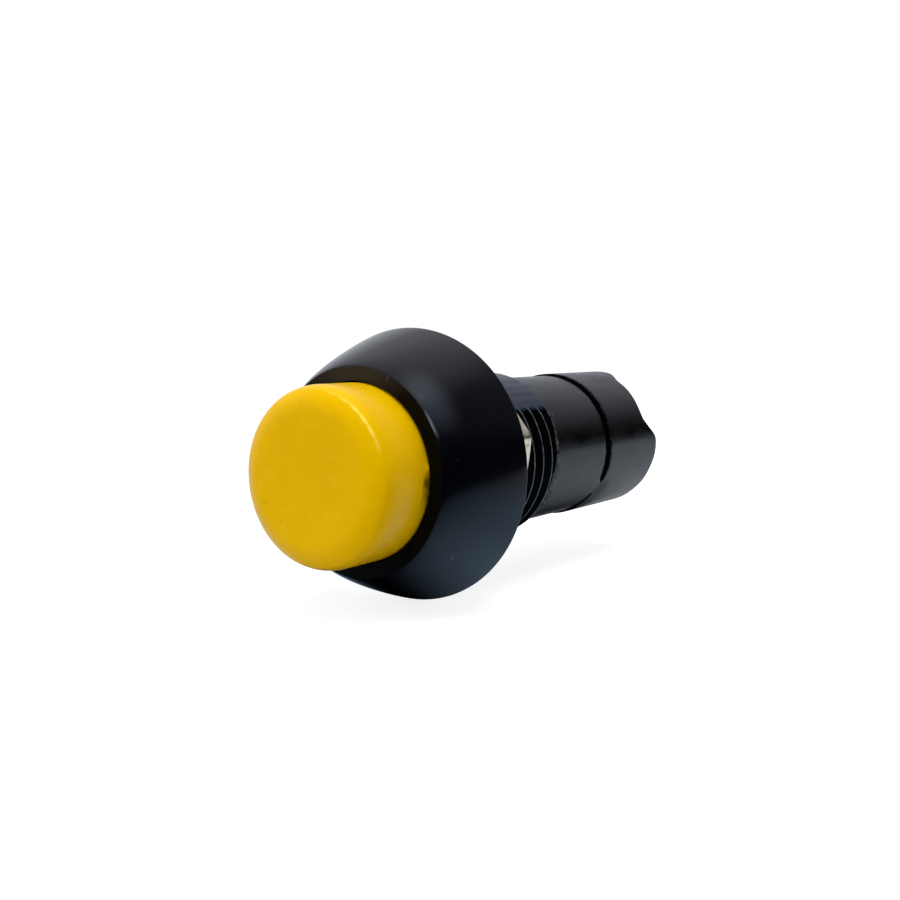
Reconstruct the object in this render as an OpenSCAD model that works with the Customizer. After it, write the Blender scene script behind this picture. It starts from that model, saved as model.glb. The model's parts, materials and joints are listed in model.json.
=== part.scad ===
// Round momentary push button switch for a 12 mm panel hole.
//
// The origin is the centre of the ring on the bezel's back that bears on the panel.
// The button faces -Y, the rear body runs along +Y and +Z is up. Every piece is drawn
// about the axis Z and then laid down, and places along the axis are depths: distances
// behind the panel's front, so what stands in front of the panel has a negative depth.
// Angles are seen from the front, anticlockwise from +X.

/* [Bezel] */
// Diameter of the bezel at its rim
bezel_d = 18; // [16.5:0.1:24]
// Height of the bezel in front of the panel
bezel_h = 5.88; // [4.5:0.02:8]
// Width of the flat ring round the button
lip_w = 0.93; // [0.6:0.01:1.1]
// Rounding of the bezel's rim
rim_round = 0.15; // [0.05:0.01:0.3]
// Width of the ring that bears on the panel
land_w = 0.65; // [0.4:0.05:1.2]
// Depth of the hollow inside that ring
relief = 0.1; // [0.05:0.05:0.3]

/* [Threaded barrel] */
// Outside diameter of the thread
thread_d = 11.86; // [11.4:0.02:12.6]
// Length of the thread behind the panel's front
thread_l = 9.65; // [8:0.05:14]
// Pitch of the thread
thread_pitch = 1.2; // [1:0.05:1.5]
// Height of the thread
thread_h = 0.5; // [0.3:0.05:0.6]
// Width of the thread's crests
crest_w = 0.12; // [0.06:0.01:0.2]
// Direction of the plain strips along the thread
strip_angle = 64; // [0:1:90]
// Angle that each plain strip takes up
strip_span = 54; // [30:1:90]
// Step down from the thread to the body behind it
body_step = 0.53; // [0.1:0.01:0.6]

/* [Rear body] */
// Length of the body behind the thread
body_l = 8; // [6:0.1:14]
// Wall of the body round the spigot
body_wall = 0.65; // [0.4:0.05:0.8]
// Gap between the body and the rear housing
seam_gap = 0.6; // [0.1:0.05:1]
// Depth of the socket that takes the spigot
socket_l = 3.5; // [2:0.1:5]
// Wall of the spigot
spigot_wall = 0.5; // [0.3:0.05:0.7]
// Length of the rear housing behind the gap
rear_l = 8.45; // [7.6:0.05:12]
// Step up from the body to the rear housing
rear_step = 0.15; // [0.05:0.01:0.4]
// Height of the open rim behind the terminal base
rim_h = 3.1; // [2.2:0.1:4]
// Ledge that the terminal base bears on
base_ledge = 0.4; // [0.25:0.05:0.6]

/* [Rim notches] */
// Direction of the notches, the terminals and the contact bridge
terminal_angle = 40; // [0:1:90]
// Height of the notches
notch_h = 1.9; // [1:0.1:2.2]
// Width of a notch at its foot
notch_w = 3.8; // [3:0.1:4.4]
// Width of a notch at the rim
notch_mouth_w = 6.7; // [4.6:0.1:7.4]

/* [Button] */
// Diameter of the button cap
cap_d = 11.2; // [10.4:0.1:12.4]
// Height of the cap in front of the bezel
cap_proud = 4.27; // [3.4:0.01:7]
// Rounding of the cap's front edge
cap_round = 1.3; // [0.4:0.1:2]
// Wall of the cap's skirt
cap_wall = 1.1; // [0.8:0.05:1.3]
// Wall of the cap's front
cap_front_t = 1.35; // [0.8:0.05:2]
// Length of the socket inside the cap
boss_l = 3; // [2:0.1:4]
// Distance that the button travels
travel = 3; // [2:0.1:3.2]
// Space left under the cap when it is pressed
end_gap = 0.2; // [0.1:0.05:0.5]

/* [Plunger] */
// Diameter of the plunger's stem
stem_d = 5.2; // [4.6:0.1:5.6]
// Diameter of the nose that the cap is pressed on
nose_d = 3.5; // [2.6:0.1:3.8]
// Length of the pin behind its clip
pin_end = 0.3; // [0.2:0.05:0.5]
// Width of the key that stops the plunger turning
key_w = 1; // [0.6:0.1:1.4]
// Height of the key
key_h = 0.5; // [0.3:0.05:0.6]
// Length of the guide that the stem runs in
guide_l = 4; // [3:0.1:5]
// Floor of the cap's pocket in front of the panel's front
pocket_floor = 0.4; // [0.3:0.05:0.8]

/* [Springs and clips] */
// Wire of the return spring
return_wire = 0.5; // [0.3:0.05:0.6]
// Turns of the return spring
return_turns = 7; // [5:0.5:8]
// Wire of the contact spring
contact_wire = 0.3; // [0.2:0.02:0.4]
// Turns of the contact spring
contact_turns = 8; // [5:0.5:9]
// Length of the contact spring
contact_spring_l = 5; // [4:0.1:6]
// Thickness of the plunger clip
clip_t = 0.5; // [0.3:0.05:0.8]
// Thickness of the bridge clip
bridge_clip_t = 0.4; // [0.3:0.05:0.6]
// Depth of the clips' grooves
groove = 0.4; // [0.25:0.05:0.5]
// Width of the bridge clip outside its pin
clip_rim = 0.45; // [0.3:0.05:0.6]

/* [Contacts and terminals] */
// Gap between the open contacts
contact_gap = 2; // [1.5:0.1:2.4]
// Diameter of the contacts
contact_d = 1.1; // [0.8:0.1:1.2]
// Height of the fixed contacts
contact_h = 0.5; // [0.3:0.05:0.6]
// Height of the contacts on the bridge
tip_h = 0.4; // [0.2:0.05:0.5]
// Thickness of the contact bridge
bridge_t = 0.4; // [0.3:0.05:0.6]
// Width of the contact bridge across its flats
bridge_w = 4; // [3.6:0.1:5]
// Thickness of the terminal base
base_t = 2.4; // [2:0.1:3]
// Thickness of the terminals
lug_t = 0.5; // [0.3:0.05:0.5]
// Width of the terminals
lug_w = 2.8; // [2.2:0.1:3]
// Length of the terminals past the rim
lug_out = 1.3; // [0.8:0.1:3]
// Diameter of the solder holes
lug_hole_d = 1.4; // [0.8:0.1:1.5]
// Diameter of the contacts' shanks
shank_d = 0.7; // [0.5:0.05:0.75]
// Height of the tails that the contacts are riveted with
tail_h = 0.3; // [0.2:0.05:0.4]

/* [Nut and lock washer] */
// Wall of the nut between its bore and its flats
nut_wall = 1.02; // [0.8:0.02:1.6]
// Height of the nut
nut_h = 2.2; // [1.6:0.1:3]
// Width of the nut's front face, as a share of its wall
nut_face = 0.61; // [0.5:0.01:0.9]
// Thickness of the lock washer
washer_t = 0.9; // [0.6:0.1:1.2]
// Width of the lock washer's plain ring
washer_ring_w = 0.8; // [0.6:0.05:1.1]
// Number of the lock washer's teeth
washer_teeth = 9; // [6:1:12]

/* [Clearances] */
// Clearance of what slides or turns, on each side
run_gap = 0.08; // [0.05:0.01:0.1]
// Clearance of what is fixed, on each side
fit_gap = 0.05; // [0.02:0.01:0.1]
// Clearance of the cap in its pocket, on each side
cap_gap = 0.1; // [0.08:0.01:0.2]
// Clearance of the nut on the thread, on each side
thread_gap = 0.05; // [0.03:0.01:0.1]
// Space round the pieces inside the body
free_gap = 0.4; // [0.3:0.05:0.5]
// Clearance of the contact spring on its pin
spring_gap = 0.25; // [0.15:0.05:0.3]
// Distance of the lock washer's edge inside the nut's corners
washer_inset = 0.08; // [0.05:0.01:0.2]

/* [Hidden] */
$fn = 96;
eps = 0.01;

// radii
bezel_r = bezel_d / 2;
cap_r = cap_d / 2;
pocket_r = cap_r + cap_gap;
lip_r = pocket_r + lip_w;
land_r = bezel_r - rim_round - land_w;
thread_r = thread_d / 2;
body_r = thread_r - body_step;
socket_r = body_r - body_wall;
spigot_r = socket_r - fit_gap;
chamber_r = spigot_r - spigot_wall;
rear_r = body_r + rear_step;
rear_bore_r = chamber_r + base_ledge;
base_r = rear_bore_r - fit_gap;
stem_r = stem_d / 2;
guide_r = stem_r + run_gap;
cap_bore_r = cap_r - cap_wall;
nose_r = nose_d / 2;
clip_r = chamber_r - free_gap;
bridge_r = chamber_r - free_gap;
contact_r = contact_d / 2;
lug_x = sqrt(pow(chamber_r - 2 * fit_gap, 2) - pow(lug_w / 2, 2)) - lug_t;
contact_x = lug_x - fit_gap - contact_r;
bridge_clip_r = contact_x - contact_r - free_gap;
pin_r = bridge_clip_r - clip_rim;
pin_flat = 0.6 * pin_r;
well_r = bridge_clip_r + end_gap;

// depths along the axis
cap_front = -bezel_h - cap_proud;
cap_roof = cap_front + cap_front_t;
pocket_back = -pocket_floor;
cap_back = pocket_back - end_gap - travel;
boss_back = cap_roof + boss_l;
guide_back = pocket_back + guide_l;
clip_front = guide_back + fit_gap;
clip_back = clip_front + clip_t;
body_back = thread_l + body_l;
socket_floor = body_back - socket_l;
rear_front = body_back + seam_gap;
rim_back = rear_front + rear_l;
base_back = rim_back - rim_h;
base_front = base_back - base_t;
leg_front = base_front - lug_t;
fixed_face = leg_front - contact_h;
tip_face = fixed_face - contact_gap;
bridge_back = tip_face - tip_h;
bridge_front = bridge_back - bridge_t;
shoulder = bridge_front - contact_spring_l;
bridge_clip_front = bridge_back + fit_gap;
bridge_clip_back = bridge_clip_front + bridge_clip_t;
pin_back = bridge_clip_back + pin_end;
well_back = pin_back + travel + end_gap;
lug_back = rim_back + lug_out;
nut_front = washer_t;

// thread and nut
crest_turn = 9; // the angle at which a crest meets the thread's end
nut_bore_r = thread_r + thread_gap;
nut_flat_r = nut_bore_r + nut_wall;
nut_corner_r = nut_flat_r / cos(30);
nut_turn = 15; // the angle of a corner

// shape of the bezel's dome, from its lip (0) to its rim (90)
dome_steps = 24;
dome_r_power = 1.63;
dome_h_power = 1.88;
dome_turns = [for (i = [0 : dome_steps]) 90 * i / dome_steps];

// A point of a profile: a radius and a depth, drawn with the front upwards.
function at(r, depth) = [r, -depth];

// Points of a quarter round from angle a to angle b about a centre.
function arc(r, depth, size, a, b, steps = 8) =
    [for (i = [0 : steps]) let (t = a + (b - a) * i / steps) [r + size * cos(t), -depth + size * sin(t)]];

// Lays a piece down: what was up now faces -Y.
module lay() {
    rotate([90, 0, 0]) children();
}

module rod(front, back, r) {
    translate([0, 0, -back]) cylinder(h = back - front, r = r);
}

module tube(front, back, r, bore) {
    difference() {
        rod(front, back, r);
        rod(front - eps, back + eps, bore);
    }
}

// A block that starts at x, centred across it, between two depths.
module slab(x, length, width, front, back) {
    translate([x, -width / 2, -back]) cube([length, width, back - front]);
}

// Turns a piece of the right-hand contact or terminal to its place.
module side(right) {
    rotate(terminal_angle + (right ? 0 : 180)) children();
}

// A pin with one flat along it.
module flat_pin(front, back, r, flat) {
    intersection() {
        rod(front, back, r);
        rotate(terminal_angle) slab(-r, r + flat, 2 * r, front, back);
    }
}

// A coil of round wire with closed ends between two depths.
module coil(front, back, r, wire, turns) {
    sides = 8;
    steps = 20;
    rings = round(turns * steps);
    low = front + wire / 2;
    high = back - wire / 2;
    closed = wire * 1.06;
    pitch = (high - low - 2 * closed) / (turns - 2);
    function depth(n) = n < 1 ? low + closed * n
        : n > turns - 1 ? high - closed * (turns - n)
        : low + closed + pitch * (n - 1);
    points = [
        for (i = [0 : rings], j = [0 : sides - 1])
        let (turn = 360 * i / steps, a = 360 * j / sides, reach = r + wire / 2 * cos(a))
        [reach * cos(turn), reach * sin(turn), -depth(i / steps) + wire / 2 * sin(a)]
    ];
    faces = [
        for (i = [0 : rings - 1], j = [0 : sides - 1])
        let (k = (j + 1) % sides, a = i * sides, b = a + sides)
        each [[a + j, a + k, b + j], [a + k, b + k, b + j]]
    ];
    start = [for (j = [sides - 1 : -1 : 0]) j];
    end = [for (j = [0 : sides - 1]) rings * sides + j];
    polyhedron(points, concat(faces, [start, end]));
}

// An open spring clip that sits in a groove.
module clip(front, back, r, bore) {
    difference() {
        tube(front, back, r, bore);
        rotate(terminal_angle) slab(0, r + eps, 1.5 * bore, front - eps, back + eps);
    }
}

// Grooves between the turns of the thread, on one of the two sides between the plain strips.
// Each is a ring segment tilted to the thread's lead, and a crest meets the end at crest_turn.
module thread_grooves(middle) {
    root_r = thread_r - thread_h;
    mouth = (thread_pitch - crest_w) / 2;
    root = mouth - thread_h * tan(30);
    past = crest_w / 4; // how far the cutter's flanks run on past the crests
    section = [
        [root_r, -root], [thread_r + past / tan(30), -mouth - past], [thread_r + free_gap, -mouth - past],
        [thread_r + free_gap, mouth + past], [thread_r + past / tan(30), mouth + past], [root_r, root]
    ];
    span = 180 - strip_span;
    lead = asin(thread_pitch / (2 * PI * (thread_r - thread_h / 2)));
    last = thread_l - thread_pitch * (0.5 + (middle - crest_turn) / 360);
    count = floor((last - relief - mouth) / thread_pitch);
    for (i = [0 : count]) rotate(middle) translate([0, 0, i * thread_pitch - last])
        rotate([lead, 0, 0]) rotate(-span / 2) rotate_extrude(angle = span) polygon(section);
}

// Bezel, threaded barrel and front half of the body, moulded in one piece.
module barrel() {
    dome = [
        for (t = dome_turns)
        at(lip_r + (bezel_r - lip_r) * pow(sin(t), dome_r_power),
            -rim_round - (bezel_h - rim_round) * pow(cos(t), dome_h_power))
    ];
    outline = concat(
        [at(pocket_r, -bezel_h)], dome,
        arc(bezel_r - rim_round, -rim_round, rim_round, -15, -90, 5),
        [
            at(land_r, 0), at(land_r, -relief), at(thread_r, -relief),
            at(thread_r, thread_l), at(body_r, thread_l), at(body_r, body_back),
            at(socket_r, body_back), at(socket_r, socket_floor), at(chamber_r, socket_floor),
            at(chamber_r, guide_back), at(guide_r, guide_back), at(guide_r, pocket_back),
            at(pocket_r, pocket_back)
        ]
    );
    color("#141517") lay() difference() {
        rotate_extrude() polygon(outline);
        slab(0, guide_r + key_h, key_w + 2 * run_gap, pocket_back - eps, guide_back + eps);
        thread_grooves(strip_angle - 90);
        thread_grooves(strip_angle + 90);
    }
}

// Rear half of the body: a sleeve with a spigot in front and a notched rim behind.
module rear_housing() {
    outline = [
        at(chamber_r, socket_floor), at(spigot_r, socket_floor), at(spigot_r, rear_front),
        at(rear_r, rear_front), at(rear_r, rim_back), at(rear_bore_r, rim_back),
        at(rear_bore_r, base_front), at(chamber_r, base_front)
    ];
    foot = notch_w / 2;
    mouth = notch_mouth_w - foot; // half the width that its slopes reach at twice its height
    color("#1a1b1d") lay() difference() {
        rotate_extrude() polygon(outline);
        rotate(terminal_angle) rotate([90, 0, 90])
            translate([0, 0, -2 * rear_r]) linear_extrude(4 * rear_r)
                translate([0, notch_h - rim_back])
                    polygon([[-foot, 0], [foot, 0], [mouth, -2 * notch_h], [-mouth, -2 * notch_h]]);
    }
}

// Insulating disc that carries both terminals.
module terminal_base() {
    color("#2b1d14") lay() difference() {
        rod(base_front, base_back, base_r);
        rod(base_front - eps, well_back, well_r);
        for (right = [true, false]) side(right) {
            slab(lug_x - fit_gap, lug_t + 2 * fit_gap, lug_w + 2 * fit_gap,
                base_front - eps, base_back + eps);
            translate([contact_x, 0, 0])
                rod(base_front - eps, base_back + eps, shank_d / 2 + fit_gap);
        }
    }
}

// Solder lug with a foot inside that the fixed contact is riveted through.
module terminal(right) {
    foot_x = well_r + fit_gap;
    round_back = lug_back - lug_w / 2;
    color("#c9c4b6") lay() side(right) difference() {
        union() {
            slab(foot_x, lug_x + lug_t - foot_x, lug_w, leg_front, base_front);
            slab(lug_x, lug_t, lug_w, leg_front, round_back);
            translate([lug_x, 0, -round_back]) rotate([0, 90, 0])
                cylinder(h = lug_t, r = lug_w / 2);
        }
        translate([lug_x - eps, 0, -round_back]) rotate([0, 90, 0])
            cylinder(h = lug_t + 2 * eps, r = lug_hole_d / 2);
        translate([contact_x, 0, 0])
            rod(leg_front - eps, base_front + eps, shank_d / 2 + fit_gap);
    }
}

// Contact rivet: a head in front, a shank through the foot and the base, a tail behind.
module fixed_contact(right) {
    color("#d9d9d6") lay() side(right) translate([contact_x, 0, 0]) {
        rod(fixed_face, leg_front, contact_r);
        rod(leg_front, base_back, shank_d / 2);
        rod(base_back, base_back + tail_h, contact_r);
    }
}

// Yellow cap, a cup with a socket inside its front.
module button_cap() {
    outline = concat(
        [at(0, cap_front)],
        arc(cap_r - cap_round, cap_front + cap_round, cap_round, 90, 0, 10),
        [
            at(cap_r, cap_back), at(cap_bore_r, cap_back), at(cap_bore_r, cap_roof),
            at(stem_r, cap_roof), at(stem_r, boss_back), at(nose_r + fit_gap, boss_back),
            at(nose_r + fit_gap, cap_roof), at(0, cap_roof)
        ]
    );
    color("#f2c800") lay() rotate_extrude() polygon(outline);
}

// Plunger: nose, keyed stem and flat-sided pin.
module plunger() {
    color("#e8e6df") lay() {
        rod(cap_roof + fit_gap, boss_back, nose_r);
        difference() {
            union() {
                rod(boss_back, shoulder, stem_r);
                slab(0, stem_r + key_h, key_w, boss_back + end_gap, guide_back);
                flat_pin(shoulder, pin_back, pin_r, pin_flat);
            }
            tube(clip_front - fit_gap, clip_back + fit_gap, stem_r + eps, stem_r - groove);
            tube(bridge_clip_front - fit_gap, bridge_clip_back + fit_gap, pin_r + eps, pin_r - groove);
        }
    }
}

module return_spring() {
    mean_r = (stem_r + key_h + cap_bore_r) / 2;
    color("#b8bcc0") lay() coil(cap_roof, pocket_back, mean_r, return_wire, return_turns);
}

module plunger_clip() {
    color("#8e9296") lay() clip(clip_front, clip_back, clip_r, stem_r - groove + fit_gap);
}

// Bridge that joins the fixed contacts: a disc with two flats and a keyed hole.
module contact_bridge() {
    color("#c98a4b") lay() difference() {
        intersection() {
            rod(bridge_front, bridge_back, bridge_r);
            rotate(terminal_angle) slab(-bridge_r, 2 * bridge_r, bridge_w, bridge_front, bridge_back);
        }
        flat_pin(bridge_front - eps, bridge_back + eps, pin_r + run_gap, pin_flat + run_gap);
    }
}

module bridge_contact(right) {
    color("#d9d9d6") lay() side(right) translate([contact_x, 0, 0])
        rod(bridge_back, tip_face, contact_r);
}

module contact_spring() {
    mean_r = pin_r + spring_gap + contact_wire / 2;
    color("#b8bcc0") lay() coil(shoulder, bridge_front, mean_r, contact_wire, contact_turns);
}

module bridge_clip() {
    color("#8e9296") lay()
        clip(bridge_clip_front, bridge_clip_back, bridge_clip_r, pin_r - groove + fit_gap);
}

// Lock washer with teeth inside its ring.
module lock_washer() {
    ring_r = nut_corner_r - washer_inset;
    tooth_r = thread_r + 2 * thread_gap;
    inner_r = ring_r - washer_ring_w;
    root = washer_ring_w / 4; // the teeth start this far inside the ring
    tooth_w = PI * tooth_r / washer_teeth;
    color("#b9b6ac") lay() difference() {
        union() {
            tube(0, nut_front, ring_r, inner_r);
            for (i = [0 : washer_teeth - 1]) rotate(360 * i / washer_teeth)
                slab(tooth_r - root, inner_r - tooth_r + 2 * root, tooth_w, 0, nut_front);
        }
        rod(-eps, nut_front + eps, tooth_r);
    }
}

// Hexagon nut, its corners chamfered on both faces and more in front.
module panel_nut() {
    nut_back = nut_front + nut_h;
    face_r = nut_bore_r + nut_face * (nut_flat_r - nut_bore_r);
    back_r = nut_flat_r + 0.04 * (nut_corner_r - nut_flat_r);
    past_r = nut_corner_r + free_gap;
    outline = [
        at(0, nut_front), at(face_r, nut_front), at(past_r, nut_front + (past_r - face_r) * tan(30)),
        at(past_r, nut_back - (past_r - back_r) * tan(30)), at(back_r, nut_back), at(0, nut_back)
    ];
    color("#c8c4b8") lay() difference() {
        intersection() {
            rotate(nut_turn) rod(nut_front - eps, nut_back + eps, nut_corner_r, $fn = 6);
            rotate_extrude() polygon(outline);
        }
        rod(nut_front - eps, nut_back + eps, nut_bore_r);
    }
}

barrel();
rear_housing();
terminal_base();
terminal(true);  // terminal_right
terminal(false);  // terminal_left
fixed_contact(true);  // fixed_contact_right
fixed_contact(false);  // fixed_contact_left
button_cap();
plunger();
return_spring();
plunger_clip();
contact_bridge();
bridge_contact(true);  // bridge_contact_right
bridge_contact(false);  // bridge_contact_left
contact_spring();
bridge_clip();
lock_washer();
panel_nut();
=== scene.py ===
import json
import math
import bmesh
import bpy
import numpy as np
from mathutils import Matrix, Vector, noise


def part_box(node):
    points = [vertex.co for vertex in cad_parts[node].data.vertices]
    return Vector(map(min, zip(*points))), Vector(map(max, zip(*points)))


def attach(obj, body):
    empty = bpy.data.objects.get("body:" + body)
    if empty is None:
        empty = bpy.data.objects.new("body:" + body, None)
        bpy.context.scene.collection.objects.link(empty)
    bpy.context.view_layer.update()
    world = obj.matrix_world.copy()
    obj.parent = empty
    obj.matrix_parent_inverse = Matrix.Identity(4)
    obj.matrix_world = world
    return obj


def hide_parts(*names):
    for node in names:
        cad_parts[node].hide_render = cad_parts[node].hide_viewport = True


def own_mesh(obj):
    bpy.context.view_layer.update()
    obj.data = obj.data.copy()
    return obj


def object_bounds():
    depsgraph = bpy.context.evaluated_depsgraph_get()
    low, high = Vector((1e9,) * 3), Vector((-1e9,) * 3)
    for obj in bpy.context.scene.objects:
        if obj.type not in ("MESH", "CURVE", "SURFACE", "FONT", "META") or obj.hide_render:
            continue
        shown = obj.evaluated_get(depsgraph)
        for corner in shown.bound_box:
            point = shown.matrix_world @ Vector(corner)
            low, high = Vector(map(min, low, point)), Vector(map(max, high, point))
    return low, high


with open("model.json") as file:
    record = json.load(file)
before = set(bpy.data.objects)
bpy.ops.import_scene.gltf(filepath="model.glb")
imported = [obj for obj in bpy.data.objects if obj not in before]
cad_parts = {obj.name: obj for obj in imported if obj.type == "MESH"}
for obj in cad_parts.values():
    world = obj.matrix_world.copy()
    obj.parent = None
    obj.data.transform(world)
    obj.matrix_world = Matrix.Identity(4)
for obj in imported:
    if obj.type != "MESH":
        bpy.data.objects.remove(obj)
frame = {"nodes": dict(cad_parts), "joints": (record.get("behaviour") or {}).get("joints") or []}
cadBox = [list(end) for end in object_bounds()]
print("frame loaded:", len(frame["nodes"]), "nodes")

mm = 0.001
tau = 2 * math.pi


def toLinear(hexCode):  # an sRGB hex colour as linear red, green, blue, alpha
    parts = [int(hexCode[i:i + 2], 16) / 255 for i in (1, 3, 5)]
    return [c / 12.92 if c <= 0.04045 else ((c + 0.055) / 1.055) ** 2.4 for c in parts] + [1]


# materials: every size in a look is in mm

def addNode(tree, kind, links=None, **settings):  # links: input name or number -> socket or value
    node = tree.nodes.new(kind)
    for name, value in settings.items():
        setattr(node, name, value)
    for name, value in (links or {}).items():
        if isinstance(value, bpy.types.NodeSocket):
            tree.links.new(value, node.inputs[name])
        else:
            node.inputs[name].default_value = value
    return node


def newMaterial(name, **sockets):
    material = bpy.data.materials.new(name)
    material.use_nodes = True
    tree = material.node_tree
    shader = tree.nodes["Principled BSDF"]
    for socket, value in sockets.items():
        shader.inputs[socket.replace("_", " ")].default_value = value
    place = addNode(tree, "ShaderNodeTexCoord").outputs["Object"]
    return material, tree, shader, place


def addGrain(tree, shader, place, size, height, detail=3):
    # real moulding, plating and rolling grain is too fine to show, so it is drawn coarser
    pattern = addNode(tree, "ShaderNodeTexNoise", {"Vector": place, "Scale": 1 / (size * mm), "Detail": detail})
    bump = addNode(tree, "ShaderNodeBump", {"Height": pattern.outputs["Fac"], "Distance": height * mm,
                                            "Strength": 1})
    tree.links.new(bump.outputs["Normal"], shader.inputs["Normal"])


def addSpecks(tree, place, spacing, size, share):  # 1 inside scattered round specks
    cells = addNode(tree, "ShaderNodeTexVoronoi", {"Vector": place, "Scale": 1 / (spacing * mm)})
    inside = addNode(tree, "ShaderNodeMath", {0: cells.outputs["Distance"], 1: size / spacing / 2},
                     operation="LESS_THAN")
    chance = addNode(tree, "ShaderNodeSeparateColor", {"Color": cells.outputs["Color"]})
    chosen = addNode(tree, "ShaderNodeMath", {0: chance.outputs["Red"], 1: share}, operation="LESS_THAN")
    specks = addNode(tree, "ShaderNodeMath", {0: inside.outputs[0], 1: chosen.outputs[0]}, operation="MULTIPLY")
    return specks.outputs[0]


def addPatches(tree, place, size, low, high, detail=2):  # soft uneven patches between two values
    pattern = addNode(tree, "ShaderNodeTexNoise", {"Vector": place, "Scale": 1 / (size * mm), "Detail": detail})
    return addNode(tree, "ShaderNodeMapRange", {"Value": pattern.outputs["Fac"], "From Min": 0.3, "From Max": 0.7,
                                                "To Min": low, "To Max": high}).outputs[0]


def addMarks(tree, place, marks):  # soft ellipsoids: centre, size, turn in degrees about Y, strength
    strongest = 0.0
    for centre, size, turn, strength in marks:
        local = addNode(tree, "ShaderNodeMapping", {
            "Vector": place, "Location": [c * mm for c in centre], "Rotation": (0, math.radians(turn), 0),
            "Scale": [s * mm for s in size]}, vector_type="TEXTURE")
        away = addNode(tree, "ShaderNodeVectorMath", {0: local.outputs[0]}, operation="LENGTH").outputs["Value"]
        inside = addNode(tree, "ShaderNodeMapRange", {
            "Value": away, "From Min": 1, "From Max": 0.05, "To Min": 0, "To Max": strength},
            interpolation_type="SMOOTHSTEP").outputs[0]
        strongest = addNode(tree, "ShaderNodeMath", {0: inside, 1: strongest}, operation="MAXIMUM").outputs[0]
    return strongest


def addTones(tree, place, look):  # the base colour with soft patches of a second one
    patches = addPatches(tree, place, look["patchSize"], 0, 1, look.get("detail", 2))
    return addNode(tree, "ShaderNodeMix", {0: patches, 6: toLinear(look["base"]), 7: toLinear(look["patch"])},
                   data_type="RGBA").outputs[2]


def addFinish(tree, shader, look, tone, glossPlace, grainPlace):  # colour, uneven gloss and grain
    tree.links.new(tone, shader.inputs["Base Color"])
    gloss = addPatches(tree, glossPlace, look["glossSize"], *look["roughness"])
    tree.links.new(gloss, shader.inputs["Roughness"])
    addGrain(tree, shader, grainPlace, *look["grain"])


# black ABS as it leaves each part of the mould, with painted light and shade where noted; drawn: below 1 draws the
# patterns out along the part
# dust: spacing, size and share of the specks
blackLooks = {
    "ABS_black_polished": {  # polished steel: deep colour, clear soft reflections
        "base": "#010106", "patch": "#030408", "patchSize": 3, "drawn": 1, "roughness": (0.12, 0.18),
        "glossSize": 0.9, "grain": (0.5, 0.002), "speck": "#5a5e62", "dust": (1.3, 0.12, 0.05), "IOR": 1.4,
        # here the two wide soft scuffs are a painted reflection beside the lip, the streak along the lip a painted
        # highlight, and the small ones marks
        "scuffAndLightTone": "#5a606a", "scuffsAndPaintedLight": [
            ((5.3, -5.6, 4.9), (3.4, 2.4, 1.5), 46, 0.22), ((4.9, -5.7, 4.9), (1.2, 1.4, 0.5), 48, 0.25),
            ((5.75, -5.82, 3.35), (1.25, 0.5, 0.14), 59, 0.9), ((6.63, -5.3, 1.17), (0.09, 0.3, 0.09), 0, 1),
            ((7.1, -4.7, 1.15), (0.07, 0.3, 0.07), 0, 1), ((5.9, -3.7, -4.95), (0.05, 0.6, 0.5), 30, 0.3)]},
    "ABS_black_moulded": {  # plain tool marks: satin, drawn out a little along the length
        "base": "#020304", "patch": "#090a0c", "patchSize": 0.9, "drawn": 0.35, "roughness": (0.22, 0.31),
        "glossSize": 0.9, "grain": (0.2, 0.003), "speck": "#6a6d70", "dust": (0.9, 0.08, 0.05), "IOR": 1.4,
        "scuffAndLightTone": "#5a5e62", "scuffsAndPaintedLight": [
            ((4.58, 10.9, 2.86), (0.09, 0.09, 0.09), 0, 1), ((5.39, 10.2, -0.28), (0.08, 0.08, 0.08), 0, 1)]},
    "ABS_black_strip": {  # the two plain strips along the thread: smooth; the bluish base colour is a painted cold sheen, a painted reflection
        "base": "#08142a", "patch": "#0b182e", "patchSize": 0.8, "drawn": 0.5, "roughness": (0.26, 0.32),
        "glossSize": 0.9, "grain": (0.3, 0.002), "speck": "#5a6070", "dust": (0.9, 0.08, 0.03), "IOR": 1.4,
        # here the scuffs are painted highlights where the pale crest lines meet the strip
        "scuffAndLightTone": "#6c747e", "scuffsAndPaintedLight": [
            ((4.66, y, 3.68), (0.14, 0.07, 0.2), 51, 0.8) for y in (3.55, 4.77, 5.93, 7.16, 8.33)]},
    "ABS_black_groove": {  # thread grooves and the seam's walls: a dull, dusty black that sends back nearly no light, a painted shade
        "base": "#010102", "patch": "#020203", "patchSize": 0.8, "drawn": 1, "roughness": (0.6, 0.7),
        "glossSize": 0.9, "grain": (0.2, 0.004), "speck": "#7c7f82", "dust": (0.5, 0.07, 0.05), "IOR": 1.15,
        "scuffsAndPaintedLight": []},
    "ABS_black_crest": {  # crests painted pale: a painted highlight along the crest lines and at the thread's end, with pale specks
        "base": "#585d62", "patch": "#0c0e10", "patchSize": 0.35, "drawn": 1, "roughness": (0.3, 0.4),
        "glossSize": 0.9, "grain": (0.15, 0.004), "speck": "#a4a8ac", "dust": (0.5, 0.12, 0.15), "IOR": 1.45,
        "scuffsAndPaintedLight": []},
    "ABS_black_matt": {  # spark-eroded well round the button: flat and dark, with painted light on its upper side, browned as a painted reflection of the cap
        "base": "#020202", "patch": "#050403", "patchSize": 1.6, "drawn": 1, "roughness": (0.5, 0.6),
        "glossSize": 0.9, "grain": (0.12, 0.004), "speck": "#1c1712", "dust": (0.6, 0.08, 0.04), "IOR": 1.16,
        # the wide scuff is that painted light and painted reflection on the upper side; the thin one is a mark
        "scuffAndLightTone": "#4a4438", "scuffsAndPaintedLight": [
            ((0, -5.9, 6.4), (6.5, 0.8, 2.4), 0, 0.36), ((2.6, -5.9, 5.9), (0.1, 0.8, 0.4), 20, 0.8)]},
}


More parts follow.
